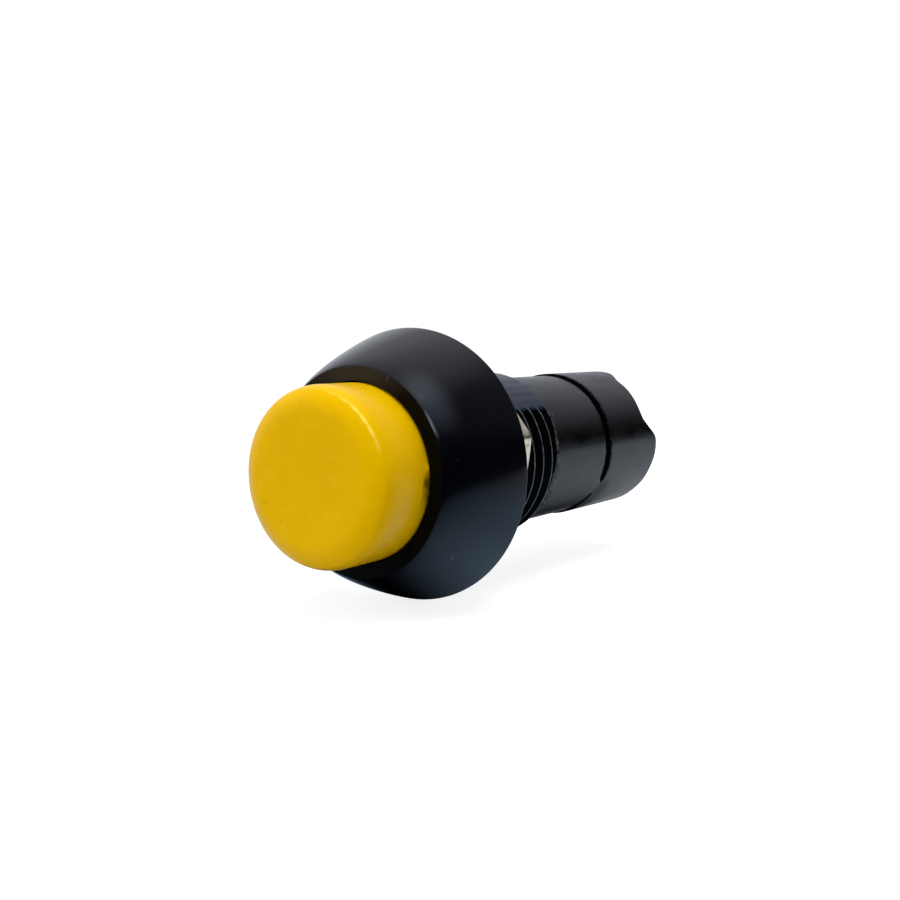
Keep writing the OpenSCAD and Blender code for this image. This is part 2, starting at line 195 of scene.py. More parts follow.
def blackPlastic(name):
    look = blackLooks[name]
    material, tree, shader, place = newMaterial(name, IOR=look["IOR"])
    drawn = addNode(tree, "ShaderNodeMapping", {"Vector": place, "Scale": (1, look["drawn"], 1)}).outputs[0]
    tone = addTones(tree, drawn, look)
    # marks in the scuff tone; in some looks they are painted highlights, painted reflections and painted light, as
    # noted at each look
    if look["scuffsAndPaintedLight"]:
        scuffedAndLit = addMarks(tree, place, look["scuffsAndPaintedLight"])
        tone = addNode(tree, "ShaderNodeMix", {0: scuffedAndLit, 6: tone, 7: toLinear(look["scuffAndLightTone"])},
                       data_type="RGBA").outputs[2]
    dust = addSpecks(tree, place, *look["dust"])
    tone = addNode(tree, "ShaderNodeMix", {0: dust, 6: tone, 7: toLinear(look["speck"])},
                   data_type="RGBA").outputs[2]
    addFinish(tree, shader, look, tone, drawn, drawn)
    return material


def yellowCapPlastic():  # yellow ABS, opaque and even, its gloss taking the colour of the pigment
    look = {
        "base": "#d7a900", "patch": "#d3a500", "patchSize": 2.5, "roughness": (0.22, 0.3), "glossSize": 0.8,
        "glossTone": "#ffc400", "IOR": 1.25, "grain": (0.35, 0.002), "dust": (1.7, 0.1, 0.05),
        "dustStrength": 0.4, "mark": "#7a5a08", "marks": [
            ((0.05, -10.1, 5.05), (0.1, 0.3, 0.1), 0, 0.6), ((-3.6, -10.1, -1.6), (0.45, 0.3, 0.06), 25, 0.45),
            ((-2.3, -10.1, -2.6), (0.3, 0.3, 0.06), 40, 0.45), ((-1.9, -10.1, -1.65), (0.05, 0.3, 0.2), 10, 0.35),
            ((4.64, -9, -3.13), (0.3, 0.09, 0.12), 0, 0.6), ((4.23, -6.6, -3.67), (0.3, 0.12, 0.1), 0, 0.7),
            ((4.5, -7.6, -3.4), (0.3, 0.06, 0.06), 0, 0.4)],
        # the corner marks below are a painted highlight: a light yellow arc along the corner of the face, at these
        # angles round the axis
        "paintedHighlightTone": "#ffe878", "paintedHighlightPlace": (5.3, -9.65, 5.31), "paintedHighlightSize": (0.75, 0.22, 0.13),
        "paintedLight": ((26, 0.25), (35, 0.5), (44, 0.65), (53, 0.5), (63, 0.3), (74, 0.15)),  # angle and strength
    }
    x, y, z = look["paintedHighlightPlace"]
    paintedLight = [((x * math.cos(math.radians(turn)), y, z * math.sin(math.radians(turn))), look["paintedHighlightSize"],
             90 - turn, strength) for turn, strength in look["paintedLight"]]
    material, tree, shader, place = newMaterial("ABS_yellow_moulded", IOR=look["IOR"],
                                                Specular_Tint=toLinear(look["glossTone"]))
    tone = addTones(tree, place, look)
    dust = addNode(tree, "ShaderNodeMath", {0: addSpecks(tree, place, *look["dust"]), 1: look["dustStrength"]},
                   operation="MULTIPLY")
    dirt = addNode(tree, "ShaderNodeMath", {0: dust.outputs[0], 1: addMarks(tree, place, look["marks"])},
                   operation="MAXIMUM")
    # the first mix lays on the painted highlight along the corner, the second the dirt and dust
    for amount, colour in ((addMarks(tree, place, paintedLight), "paintedHighlightTone"), (dirt.outputs[0], "mark")):
        tone = addNode(tree, "ShaderNodeMix", {0: amount, 6: tone, 7: toLinear(look[colour])},
                       data_type="RGBA").outputs[2]
    addFinish(tree, shader, look, tone, place, place)
    return material


def platedNickel():  # nickel plating over stamped steel: warm grey metal with a few stains
    look = {"base": "#fff1d8", "patch": "#e2d5ba", "patchSize": 0.5, "detail": 4, "roughness": (0.26, 0.36),
            "glossSize": 0.4, "grain": (0.12, 0.004), "stain": "#6b5136", "specks": (0.5, 0.12, 0.3),
            "stains": [((7.75, 2.45, 2.2), (0.34, 0.26, 0.3), 0, 0.9),
                       ((7.6, 2.2, 1.5), (0.2, 0.3, 0.14), 0, 0.7)]}
    material, tree, shader, place = newMaterial("Nickel_plated_steel", Metallic=1)
    tone = addTones(tree, place, look)
    specks = addSpecks(tree, place, *look["specks"])
    stained = addNode(tree, "ShaderNodeMath", {0: specks, 1: addMarks(tree, place, look["stains"])},
                      operation="MAXIMUM").outputs[0]
    tone = addNode(tree, "ShaderNodeMix", {0: stained, 6: tone, 7: toLinear(look["stain"])},
                   data_type="RGBA").outputs[2]
    addFinish(tree, shader, look, tone, place, place)
    return material


def drawnSteel():  # drawn spring wire and sheared strip: bright, cool grey
    look = {"base": "#b4b7ba", "patch": "#94989c", "patchSize": 0.5, "detail": 4, "roughness": (0.22, 0.36),
            "glossSize": 0.25, "grain": (0.08, 0.002)}
    material, tree, shader, place = newMaterial("Spring_steel_drawn", Metallic=1)
    addFinish(tree, shader, look, addTones(tree, place, look), place, place)
    return material


def tinnedBrass():  # hot tinned brass strip: soft silvery metal, a little uneven
    look = {"base": "#cbc9c2", "patch": "#a9a69c", "patchSize": 0.9, "detail": 4, "roughness": (0.26, 0.42),
            "glossSize": 0.35, "grain": (0.3, 0.006)}
    material, tree, shader, place = newMaterial("Brass_tinned", Metallic=1)
    addFinish(tree, shader, look, addTones(tree, place, look), place, place)
    return material


def springBronze():  # rolled phosphor bronze strip: copper tone with rolling lines
    look = {"base": "#c98f5a", "patch": "#a8723f", "patchSize": 0.3, "detail": 4, "roughness": (0.24, 0.36),
            "glossSize": 0.2, "grain": (0.1, 0.002), "rolled": (0.1, 1, 1)}
    material, tree, shader, place = newMaterial("Bronze_rolled", Metallic=1)
    rolled = addNode(tree, "ShaderNodeMapping", {"Vector": place, "Scale": look["rolled"]}).outputs[0]
    addFinish(tree, shader, look, addTones(tree, rolled, look), rolled, rolled)
    return material


def contactSilver():  # headed silver rivets: pale metal, lightly tarnished
    look = {"base": "#dcdad4", "patch": "#b6b1a4", "patchSize": 0.4, "detail": 4, "roughness": (0.2, 0.34),
            "glossSize": 0.2, "grain": (0.1, 0.003)}
    material, tree, shader, place = newMaterial("Silver_contact", Metallic=1)
    addFinish(tree, shader, look, addTones(tree, place, look), place, place)
    return material


def paperPhenolic():  # pressed paper phenolic sheet: brown, with fibres lying in the sheet
    look = {"base": "#3a2415", "patch": "#553620", "patchSize": 0.5, "detail": 5, "roughness": (0.42, 0.56),
            "glossSize": 0.4, "grain": (0.15, 0.006), "fibres": (1, 3, 0.25)}
    material, tree, shader, place = newMaterial("Phenolic_paper_pressed", IOR=1.6)
    fibres = addNode(tree, "ShaderNodeMapping", {"Vector": place, "Scale": look["fibres"]}).outputs[0]
    addFinish(tree, shader, look, addTones(tree, fibres, look), place, fibres)
    return material


def whiteAcetal():  # natural acetal: milky white, waxy sheen
    look = {"base": "#e6e3da", "patch": "#dad6ca", "patchSize": 1.5, "roughness": (0.34, 0.46),
            "glossSize": 0.5, "grain": (0.3, 0.003)}
    material, tree, shader, place = newMaterial("Acetal_white_moulded", IOR=1.48)
    addFinish(tree, shader, look, addTones(tree, place, look), place, place)
    return material


blackPlastics = {name: blackPlastic(name) for name in blackLooks}
yellowPlastic = yellowCapPlastic()
nickel = platedNickel()
steel = drawnSteel()
tinned = tinnedBrass()
bronze = springBronze()
silver = contactSilver()
phenolic = paperPhenolic()
acetal = whiteAcetal()
print("materials ready:", len(bpy.data.materials))


# mesh helpers

weldReach, sliverLength = 2e-7, 1e-7  # metres: nearer points become one, shorter edges go


def addPiece(name, points, faces, body, materials, replaced=(), sharp=32, faceMaterials=None):
    mesh = bpy.data.meshes.new(name)
    mesh.from_pydata([tuple(p) for p in np.asarray(points) * mm], [], faces)
    for material in materials:
        mesh.materials.append(material)
    if faceMaterials is not None:
        mesh.polygons.foreach_set("material_index", faceMaterials)
    shape = bmesh.new()
    shape.from_mesh(mesh)
    bmesh.ops.remove_doubles(shape, verts=shape.verts, dist=weldReach)
    bmesh.ops.dissolve_degenerate(shape, edges=shape.edges, dist=sliverLength)
    bmesh.ops.recalc_face_normals(shape, faces=shape.faces)
    for face in shape.faces:
        face.smooth = True
    for edge in shape.edges:
        edge.smooth = len(edge.link_faces) == 2 and edge.calc_face_angle(0) < math.radians(sharp)
    shape.to_mesh(mesh)
    shape.free()
    piece = bpy.data.objects.new(name, mesh)
    bpy.context.scene.collection.objects.link(piece)
    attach(piece, body)
    if replaced:
        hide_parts(*replaced)
    return piece


def loft(rings, loops=False):  # rings: (rows, columns, 3) points; joins rows, and the last to the first if loops
    rings = np.asarray(rings)
    rows, columns = rings.shape[:2]
    faces = []
    for i in range(rows if loops else rows - 1):
        a, b = i * columns, (i + 1) % rows * columns
        faces += [(a + j, a + j + 1, b + j + 1, b + j) for j in range(columns - 1)]
    return rings.reshape(-1, 3), faces


def roundAxis(angles, radius, depth):  # points about the Y axis
    radius, depth = np.broadcast_to(radius, angles.shape), np.broadcast_to(depth, angles.shape)
    return np.stack([radius * np.cos(angles), depth, radius * np.sin(angles)], axis=-1)


def corner(before, point, after, size, steps=4):  # points of a rounded corner of a profile
    a, p, b = Vector(before), Vector(point), Vector(after)
    start, end = p + (a - p).normalized() * size, p + (b - p).normalized() * size
    return [tuple(start.lerp(p, t).lerp(p.lerp(end, t), t)) for t in np.linspace(0, 1, steps)]


def smoothStep(low, high, value):
    t = np.clip((np.asarray(value, float) - low) / (high - low), 0, 1)
    return t * t * (3 - 2 * t)


def ragged(angles, size, seed, cycles=9, fine=0.5, finer=3.1):  # closed ragged line round the part, about 0
    places = [Vector((math.cos(a) * cycles, math.sin(a) * cycles, seed)) for a in angles]
    return size * np.array([noise.noise(p) + fine * noise.noise(p * finer) for p in places])


def signedDegrees(angles):
    return (np.degrees(angles) + 180) % 360 - 180


# seam between the two halves of the body, open most of the way round

seamSizes = {  # angles in degrees round the part, depths in mm
    "openingAt": (-180, -110, -75, -58, -42.5, -41, -31.5, -30, -14, 180),
    "opening": (1, 1, 0.7, 0.28, 0.2, 0, 0, 0.16, 1, 1),
    "meetAt": (-180, -60, -45, -34, -14, 180), "meet": (18.12, 17.98, 18.12, 18.3, 18.2, 18.12),
    "rough": 0.11, "fine": 0.06, "fineCycles": 30, "liftFrom": (40, 66), "liftTo": (80, 130),
    "front": {"place": 0.18, "lift": 0, "seed": 3.7}, "rear": {"place": 0.7, "lift": 0.14, "seed": 9.2},
}


def seamOpening(angles):  # 1 where the halves stand apart, 0 where they meet
    return np.interp(signedDegrees(angles), seamSizes["openingAt"], seamSizes["opening"])


def seamLine(angles, back, side):  # depth of one edge of the seam; back: depth of the front half's end
    s, edge = seamSizes, seamSizes[side]
    turned = signedDegrees(angles)
    meet = np.interp(turned, s["meetAt"], s["meet"])
    fine = ragged(angles, s["fine"], edge["seed"] + 1, s["fineCycles"])
    rough = ragged(angles, s["rough"], edge["seed"]) + fine
    lifted = edge["lift"] * smoothStep(*s["liftFrom"], turned) * (1 - smoothStep(*s["liftTo"], turned))
    apart = back + edge["place"] + lifted + rough
    return meet + (apart - meet) * seamOpening(angles)


# barrel moulding: bezel, thread and front half of the body

barrelSizes = {  # mm and degrees; bruises: size, seed and cycles of the ragged crests
    "lipRadius": 6.63, "lipRound": 0.07, "pocketRadius": 5.7, "pocketFloor": -0.4, "rimRound": 0.15,
    "landInner": 8.2, "landEdge": 0.02, "relief": 0.1, "domeOut": 1.63, "domeUp": 1.88,
    "threadRadius": 5.93, "threadFade": (0.3, 1.2), "threadEnd": 9.65, "pitch": 1.2, "crestPlace": 7.28,
    "crestFlat": 0.06, "flankSlope": 1 / math.tan(math.radians(60)), "threadDepth": 0.5,
    "bruises": (0.02, 2.2, 14), "bruiseReach": 0.05, "endRound": 0.13, "endFade": (0.14, 0.02),
    "firstRow": 0.02, "flankRows": (0.15, 0.4, 0.7, 1), "rootRows": (0.4, 0.5, 0.6), "lastRow": 0.16,
    "paintedHighlightEnd": 0.19, "endRows": (0.12, 0.08, 0.04, 0),
    "stripMiddle": 64, "stripHalf": 27, "stripFade": (0.5, 5), "stripRadius": 5.85, "stripFinish": 0.6,
    "bodyRadius": 5.4, "bodyStep": 0.05, "seamEdge": ((0, -0.05), (0.015, -0.015), (0.05, 0)),
    "socketRadius": 4.75, "socketFloor": 14.15, "chamberRadius": 4.2, "guideRadius": 2.68, "guideEnd": 3.6,
    "keyReach": 3.18, "keyHalf": 0.6, "columns": 360,
}


def stripShare(angles):  # 1 on the two plain strips along the thread
    s = barrelSizes
    offMiddle = np.abs((np.degrees(angles) - s["stripMiddle"] + 90) % 180 - 90)
    return 1 - smoothStep(s["stripHalf"] - s["stripFade"][0], s["stripHalf"] + s["stripFade"][1], offMiddle)


def threadSurface(angles, depth):  # radius of the thread at angles and depths
    s = barrelSizes
    crest = s["crestPlace"] - s["pitch"] * angles / tau  # right-hand thread
    turn = (depth - crest) / s["pitch"]
    away = np.abs(turn - np.round(turn)) * s["pitch"]
    cut = np.clip((away - s["crestFlat"]) / s["flankSlope"], 0, s["threadDepth"])
    strip = stripShare(angles)
    cut = cut * (1 - strip) * smoothStep(*s["threadFade"], depth)
    radius = s["threadRadius"] + (s["stripRadius"] - s["threadRadius"]) * strip - cut
    radius = radius - ragged(angles, *s["bruises"]) * (cut < s["bruiseReach"])
    ending = smoothStep(s["threadEnd"] - s["endFade"][0], s["threadEnd"] + s["endFade"][1], depth)
    return np.minimum(radius, s["threadRadius"] - s["endRound"] * ending)


def buildBarrel():
    s = barrelSizes
    low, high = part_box("barrel")
    rim, front, back = high.x / mm, low.y / mm, high.y / mm
    angles = np.linspace(0, tau, s["columns"] + 1)
    rows, finish = [], []
    polished, moulded, strip, groove, crest, matt = range(len(blackLooks))  # in the order of the looks

    def addRow(radius, depth, kind):
        rows.append(roundAxis(angles, radius, depth))
        finish.append(np.broadcast_to(kind, angles.shape)[:-1])

    lip = (s["lipRadius"], front)
    for radius, depth in corner((s["pocketRadius"], 0), (s["pocketRadius"], front), lip, s["lipRound"]):
        addRow(radius, depth, matt)
    for t in np.linspace(0, math.pi / 2, 45):
        radius = s["lipRadius"] + (rim - s["lipRadius"]) * math.sin(t) ** s["domeOut"]
        addRow(radius, -s["rimRound"] + (front + s["rimRound"]) * math.cos(t) ** s["domeUp"], polished)
    for t in np.linspace(0.15, 1, 7) * math.pi / 2:
        addRow(rim - s["rimRound"] * (1 - math.cos(t)), -s["rimRound"] * (1 - math.sin(t)), polished)
    addRow(s["landInner"], 0, polished)
    addRow(s["landInner"] - s["landEdge"], s["relief"], moulded)
    addRow(s["threadRadius"], s["relief"], moulded)

    # rows of each turn as shares of the pitch: crest, flank, root, flank
    flank = (s["crestFlat"] + s["threadDepth"] * s["flankSlope"]) / s["pitch"]
    flat = s["crestFlat"] / s["pitch"]
    onFlank = (flank - flat) * np.array(s["flankRows"])
    places = [-flat, 0, flat, *(flat + onFlank), *s["rootRows"], *(1 - flat - onFlank[::-1])]
    start, end = s["relief"] + s["firstRow"], s["threadEnd"]
    first = math.floor((start - s["crestPlace"]) / s["pitch"])
    last = math.ceil((end - s["crestPlace"]) / s["pitch"]) + 1
    onStrip = stripShare(angles) > s["stripFinish"]
    for turn in range(first, last):
        for place in places:
            depth = s["crestPlace"] + s["pitch"] * (turn + place - angles / tau)
            depth = np.clip(depth, start, end - s["lastRow"])
            # the crests and the end of the thread get the pale crest finish, a painted highlight; the rest of the
            # grooves the dull finish, a painted shade
            inGroove = (depth < end - s["paintedHighlightEnd"]) & (place >= flat)
            paintedLight = np.where(inGroove, groove, crest)
            addRow(threadSurface(angles, depth), depth, np.where(onStrip, strip, paintedLight))
    for before in s["endRows"]:
        radius = threadSurface(angles, np.full_like(angles, end - before))
        addRow(radius, end - before, np.where(onStrip, strip, crest if before else moulded))

    step = s["bodyStep"]
    addRow(s["bodyRadius"] + step, end, moulded)
    addRow(s["bodyRadius"], end + step, moulded)
    seam, opening = seamLine(angles, back, "front"), seamOpening(angles)
    for share in np.linspace(0.05, 0.95, 9):
        addRow(s["bodyRadius"], end + step + (seam - 2 * step - end) * share, moulded)
    for radius, depth in s["seamEdge"]:
        addRow(s["bodyRadius"] - radius * opening, seam + depth * opening, moulded)
    # the groove finish gives the wall of the seam a painted shade
    finish[-1] = np.full(len(angles) - 1, groove)  # the wall of the seam
    addRow(s["socketRadius"], seam, moulded)
    addRow(s["socketRadius"], s["socketFloor"], moulded)
    addRow(s["chamberRadius"], s["socketFloor"], moulded)
    addRow(s["chamberRadius"], s["guideEnd"], moulded)
    inKeyway = (np.abs(s["guideRadius"] * np.sin(angles)) < s["keyHalf"]) & (np.cos(angles) > 0)
    guide = np.where(inKeyway, s["keyReach"], s["guideRadius"])
    addRow(guide, s["guideEnd"], moulded)
    addRow(guide, s["pocketFloor"], matt)
    addRow(s["pocketRadius"], s["pocketFloor"], matt)
    points, faces = loft(rows, loops=True)
    return addPiece("barrel_moulding", points, faces, "housing", blackPlastics.values(),
                    ["barrel"], faceMaterials=np.concatenate(finish))


# rear housing

rearSizes = {  # mm and degrees; rimRough: size, seed, cycles and fine share of the ragged rim
    "spigotRadius": 4.7, "chamberRadius": 4.2, "boreRadius": 4.6, "ledge": 21.2, "notchMiddle": 40,
    "notchFoot": 24.8, "notchHalf": 2.0, "mouthHalf": 3.35, "notchTilt": 0.09, "notchSoft": 0.2,
    "slopeEnds": (-0.5, 1.5),
    "rimRough": (0.09, 5.5, 4, 0.1), "shutFade": (0.1, 0.4), "swellReach": 1.1, "sideEnd": 1.22,
    "seamEdge": ((0.05, 0), (0.015, 0.015), (0, 0.05)), "seamRows": (0.35, 0.7, 1.1),
    "rimEdge": ((0, 0.12), (0.01, 0.06), (0.035, 0.035), (0.06, 0.01), (0.12, 0)), "rimRows": (5.2, 5.0, 4.8),
    "boreEdge": ((0.08, 0), (0.023, 0.023), (0, 0.08)), "columns": 360,
}


def rimLine(angles, radius, back):  # depth of the rim with its two notches
    s = rearSizes
    across = radius * np.sin(angles - math.radians(s["notchMiddle"]))
    slope = np.clip((np.abs(across) - s["notchHalf"]) / (s["mouthHalf"] - s["notchHalf"]), *s["slopeEnds"])
    lower = (slope + np.sqrt(slope ** 2 + s["notchSoft"] ** 2)) / 2  # rounds the foot of the notch
    eased = np.clip(1 - (1 - lower + np.sqrt((1 - lower) ** 2 + s["notchSoft"] ** 2)) / 2, 0, 1)  # and its mouth
    foot = s["notchFoot"] + s["notchTilt"] * across
    return foot + (back - foot) * eased + ragged(angles, *s["rimRough"])


def buildRearHousing():
    s = rearSizes
    low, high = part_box("rear_housing")
    outer, front, back = high.x / mm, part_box("barrel")[1].y / mm, high.y / mm
    angles = np.linspace(0, tau, s["columns"] + 1)
    seam, opening = seamLine(angles, front, "rear"), seamOpening(angles)
    shut = 1 - smoothStep(*s["shutFade"], opening)
    profile = [(r, d, d * opening) for r, d in s["seamEdge"]] + [(0, d, d) for d in s["seamRows"]]
    rows = [roundAxis(angles, s["spigotRadius"], low.y / mm), roundAxis(angles, s["spigotRadius"], seam)]
    for r, d, behind in profile:
        swell = (outer - barrelSizes["bodyRadius"]) * shut * (1 - d / s["swellReach"])  # meets the barrel
        rows.append(roundAxis(angles, outer - r * opening - swell, seam + behind))
    rim = rimLine(angles, outer, back)
    for share in np.linspace(0.1, 0.95, 8):
        rows.append(roundAxis(angles, outer, seam + s["swellReach"] + (rim - s["sideEnd"] - seam) * share))
    rows += [roundAxis(angles, outer - r, rim - d) for r, d in s["rimEdge"]]
    rows += [roundAxis(angles, r, rimLine(angles, r, back)) for r in s["rimRows"]]
    inner = rimLine(angles, s["boreRadius"], back)
    rows += [roundAxis(angles, s["boreRadius"] + r, inner - d) for r, d in s["boreEdge"]]
    rows += [roundAxis(angles, s["boreRadius"], s["ledge"]), roundAxis(angles, s["chamberRadius"], s["ledge"]),
             roundAxis(angles, s["chamberRadius"], low.y / mm)]
    points, faces = loft(rows, loops=True)
    finish = np.zeros((len(rows), len(angles) - 1), int)
    # the groove finish gives the spigot and the wall of the seam a painted shade
    finish[:2] = 1  # the spigot and the wall of the seam
    plastics = [blackPlastics["ABS_black_moulded"], blackPlastics["ABS_black_groove"]]
    return addPiece("rear_housing_moulding", points, faces, "housing", plastics,
                    ["rear_housing"], faceMaterials=finish.ravel())


buildBarrel()
buildRearHousing()
print("mouldings built")


# button cap

capSizes = {  # sideRows and edgeRows: where the rows start and end, and how many; nicks and burr: size, angle, half
    "edge": ((38, 1.9), (62, 0.5), (90, 1.6)), "dish": 0.08, "sideRows": (0.4, -6.9, 6),
    "edgeRows": (-6.8, -5.4, 21), "lastRow": -4.6, "nicks": ((0.34, -3, 3.5), (0.2, -11, 6)),
    "burr": (0.13, 6.5, 2.2), "nickDepth": -5.95, "nickReach": 0.22, "backRound": 0.15, "bore": 4.5,
    "roof": 1.35, "boss": 2.6, "bossBack": -5.8, "bossBore": 1.8, "columns": 288,
}


def buildCap():
    s = capSizes
    low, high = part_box("button_cap")
    radius, front, back = high.x / mm, low.y / mm, high.y / mm
    angles = np.linspace(0, tau, s["columns"] + 1)
    profile, turned = [(0, 0)], 0  # the corner: arcs up to an angle, each with its own radius
    for until, bend in s["edge"]:
        (r, d), steps = profile[-1], np.radians(np.linspace(turned, until, 9))[1:]
        profile += [(r + bend * (math.sin(t) - math.sin(math.radians(turned))),
                     d + bend * (math.cos(math.radians(turned)) - math.cos(t))) for t in steps]
        turned = until
    flat, sideStart = radius - profile[-1][0], front + profile[-1][1]
    rows = [roundAxis(angles, 0, front + s["dish"])]
    for share in (0.15, 0.3, 0.45, 0.6, 0.75, 0.86, 0.94):
        rows.append(roundAxis(angles, flat * share, front + s["dish"] * (1 - share ** 2) ** 1.5))
    rows += [roundAxis(angles, flat + r, front + d) for r, d in profile]
    degrees = signedDegrees(angles)
    below, until, count = s["sideRows"]
    for depth in [*np.linspace(sideStart + below, until, count), *np.linspace(*s["edgeRows"]), s["lastRow"]]:
        near = math.exp(-(min(depth - s["nickDepth"], 0) / s["nickReach"]) ** 2)
        nick = sum(size * np.exp(-((degrees - middle) / half) ** 2) for size, middle, half in s["nicks"])
        size, middle, half = s["burr"]
        burr = size * np.exp(-((degrees - middle) / half) ** 2)
        rows.append(roundAxis(angles, radius + (burr - nick) * near, depth))
    rows += [roundAxis(angles, r, d) for r, d in corner((radius, 0), (radius, back), (0, back), s["backRound"])]
    roof = front + s["roof"]
    for r, d in ((s["bore"], back), (s["bore"], roof), (s["boss"], roof), (s["boss"], s["bossBack"]),
                 (s["bossBore"], s["bossBack"]), (s["bossBore"], roof), (0, roof)):
        rows.append(roundAxis(angles, r, d))
    points, faces = loft(rows)
    return addPiece("button_cap_moulding", points, faces, "plunger", [yellowPlastic],
                    ["button_cap"])


buildCap()
print("cap built")


# nut

nutSizes = {
    "corner": 15, "bore": 5.98, "boreCut": 0.25, "face": 6.6, "faceEdge": 0.1, "fineStep": 0.02,
    "frontSlope": math.tan(math.radians(30)), "edge": 0.08, "rearEdge": 0.03, "cornerCut": 0.09, "backCut": 0.6,
    "columns": 360,
}


def buildNut():
    s = nutSizes
    low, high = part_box("panel_nut")
    front, back = low.y / mm, high.y / mm
    reaches = [(v.co.x ** 2 + v.co.z ** 2) ** 0.5 for v in frame["nodes"]["panel_nut"].data.vertices]
    flat = max(reaches) / mm * math.cos(math.pi / 6)
    tip = flat / math.cos(math.pi / 6)
    angles = np.linspace(0, tau, s["columns"] + 1)
    away = (angles - math.radians(s["corner"])) % (tau / 6) - tau / 12
    hexagon = flat / np.cos(away)
    over = hexagon - (tip - s["cornerCut"])  # rounds the six corners
    softHex = hexagon - (over + np.sqrt(over ** 2 + s["cornerCut"] ** 2)) / 2
    bore, cut, step = s["bore"], s["boreCut"], s["fineStep"]
    rows = [roundAxis(angles, bore, front + cut), roundAxis(angles, bore + cut, front),
            roundAxis(angles, s["face"] - s["faceEdge"], front), roundAxis(angles, s["face"], front + step)]
    chamfer = front + np.maximum(softHex - s["face"], step) * s["frontSlope"]
    for share in (0.3, 0.6, 0.9):
        radius = s["face"] + (softHex - s["face"]) * share
        rows.append(roundAxis(angles, radius, front + (chamfer - front) * share))
    rows.append(roundAxis(angles, softHex - step, chamfer))
    rows.append(roundAxis(angles, softHex, chamfer + s["edge"]))
    backFace = tip - s["backCut"] / s["frontSlope"]  # radius at which the rear corners start to fall away
    rear = np.maximum(softHex - backFace, 0) * s["frontSlope"]
    rows.append(roundAxis(angles, softHex, back - rear - s["edge"]))
    rows.append(roundAxis(angles, softHex - s["rearEdge"], back - rear - step))
    rows.append(roundAxis(angles, np.minimum(softHex - s["edge"], backFace), back))
    rows.append(roundAxis(angles, bore + cut, back))
    rows.append(roundAxis(angles, bore, back - cut))
    points, faces = loft(rows, loops=True)
    return addPiece("panel_nut_plated", points, faces, "nut", [nickel], ["panel_nut"], sharp=20)


buildNut()
print("nut built")


# springs

springSizes = {
    "return_spring": {"wire": 0.5, "turns": 7, "mean": 3.8, "piece": "return_spring_wire", "body": "housing"},
    "contact_spring": {"wire": 0.3, "turns": 8, "mean": 1.754, "piece": "contact_spring_wire", "body": "plunger"},
}
closedLead, rowsPerTurn = 1.06, 40  # lead of the closed end turns in wires; steps along one turn


def buildSpring(node):
    s = springSizes[node]
    low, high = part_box(node)
    wire = s["wire"]
    start, end = low.y / mm + wire / 2, high.y / mm - wire / 2
    closed = wire * closedLead
    lead = (end - start - 2 * closed) / (s["turns"] - 2)
    rows = []
    sides = np.linspace(0, tau, 13)
    for turn in np.linspace(0, s["turns"], s["turns"] * rowsPerTurn + 1):
        if turn < 1:
            depth = start + closed * turn
        elif turn > s["turns"] - 1:
            depth = end - closed * (s["turns"] - turn)
        else:
            depth = start + closed + lead * (turn - 1)
        reach = s["mean"] + wire / 2 * np.cos(sides)
        along = depth + wire / 2 * np.sin(sides)
        rows.append(np.stack([reach * math.cos(tau * turn), along, reach * math.sin(tau * turn)], axis=-1))
    tips = [np.broadcast_to(row[:-1].mean(0), row.shape) for row in (rows[0], rows[-1])]  # closes both ends
    points, faces = loft([tips[0], *rows, tips[1]])
    return addPiece(s["piece"], points, faces, s["body"], [steel], [node])


returnWire = buildSpring("return_spring")
contactWire = buildSpring("contact_spring")
pressed = next(j for j in frame["joints"] if j["name"] == "button_press")["range_m"][1]
lifted = -next(j for j in frame["joints"] if j["name"] == "bridge_slide")["range_m"][0]
for wire, joint, node, distance in ((returnWire, "button_press", "return_spring", pressed),
                                    (contactWire, "bridge_slide", "contact_spring", lifted)):
    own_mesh(wire)
print("springs built")


# pieces that keep the shape of their CAD node: material, and width of the rounded edges in mm

keptNodes = {
    "terminal_base": (phenolic, 0.08), "terminal_right": (tinned, 0.06), "terminal_left": (tinned, 0.06),
    "fixed_contact_right": (silver, 0.1), "fixed_contact_left": (silver, 0.1), "plunger": (acetal, 0.08),
    "plunger_clip": (steel, 0.05), "contact_bridge": (bronze, 0.05), "bridge_contact_right": (silver, 0.08),
    "bridge_contact_left": (silver, 0.08), "bridge_clip": (steel, 0.05), "lock_washer": (nickel, 0.06),
}
edgeSteps, edgeFrom = 2, 40  # steps of a rounded edge; edges sharper than this many degrees are rounded
for name, (material, edge) in keptNodes.items():
    piece = frame["nodes"][name]
    for slot in piece.material_slots:
        slot.material = material
    bevel = piece.modifiers.new("Edges", "BEVEL")
    bevel.width, bevel.segments = edge * mm, edgeSteps
    bevel.limit_method, bevel.angle_limit = "ANGLE", math.radians(edgeFrom)
print("CAD pieces dressed:", len(keptNodes))


# floor, backdrop and light

studio = {
    "floorDrop": 0.02, "floorSize": 4000, "floorGlow": 0.83, "floorTone": 0.34, "floorBounce": 0.5,
    "ambient": 0.62, "ambientTone": "#f6f8ff",
}
white = (1, 1, 1, 1)


def addStage(name, points, faces, material, glow=None, tone=None):  # glow and tone: what each point gives off
    mesh = bpy.data.meshes.new(name)
    mesh.from_pydata([tuple(p) for p in np.asarray(points) * mm], [], faces)
    mesh.materials.append(material)
    if glow is not None:
        colours = np.ones((len(points), 4))
        colours[:, :3] = np.asarray(glow)[:, None] * tone
        mesh.attributes.new("glow", "FLOAT_COLOR", "POINT").data.foreach_set("color", colours.ravel())
    piece = bpy.data.objects.new(name, mesh)
    bpy.context.scene.collection.objects.link(piece)
    if glow is not None:  # shown in the gloss only
        piece.visible_camera = piece.visible_diffuse = piece.visible_shadow = piece.visible_transmission = False
    return piece


def emptyMaterial(name):
    material = bpy.data.materials.new(name)
    material.use_nodes = True
    material.node_tree.nodes.clear()
    return material, material.node_tree


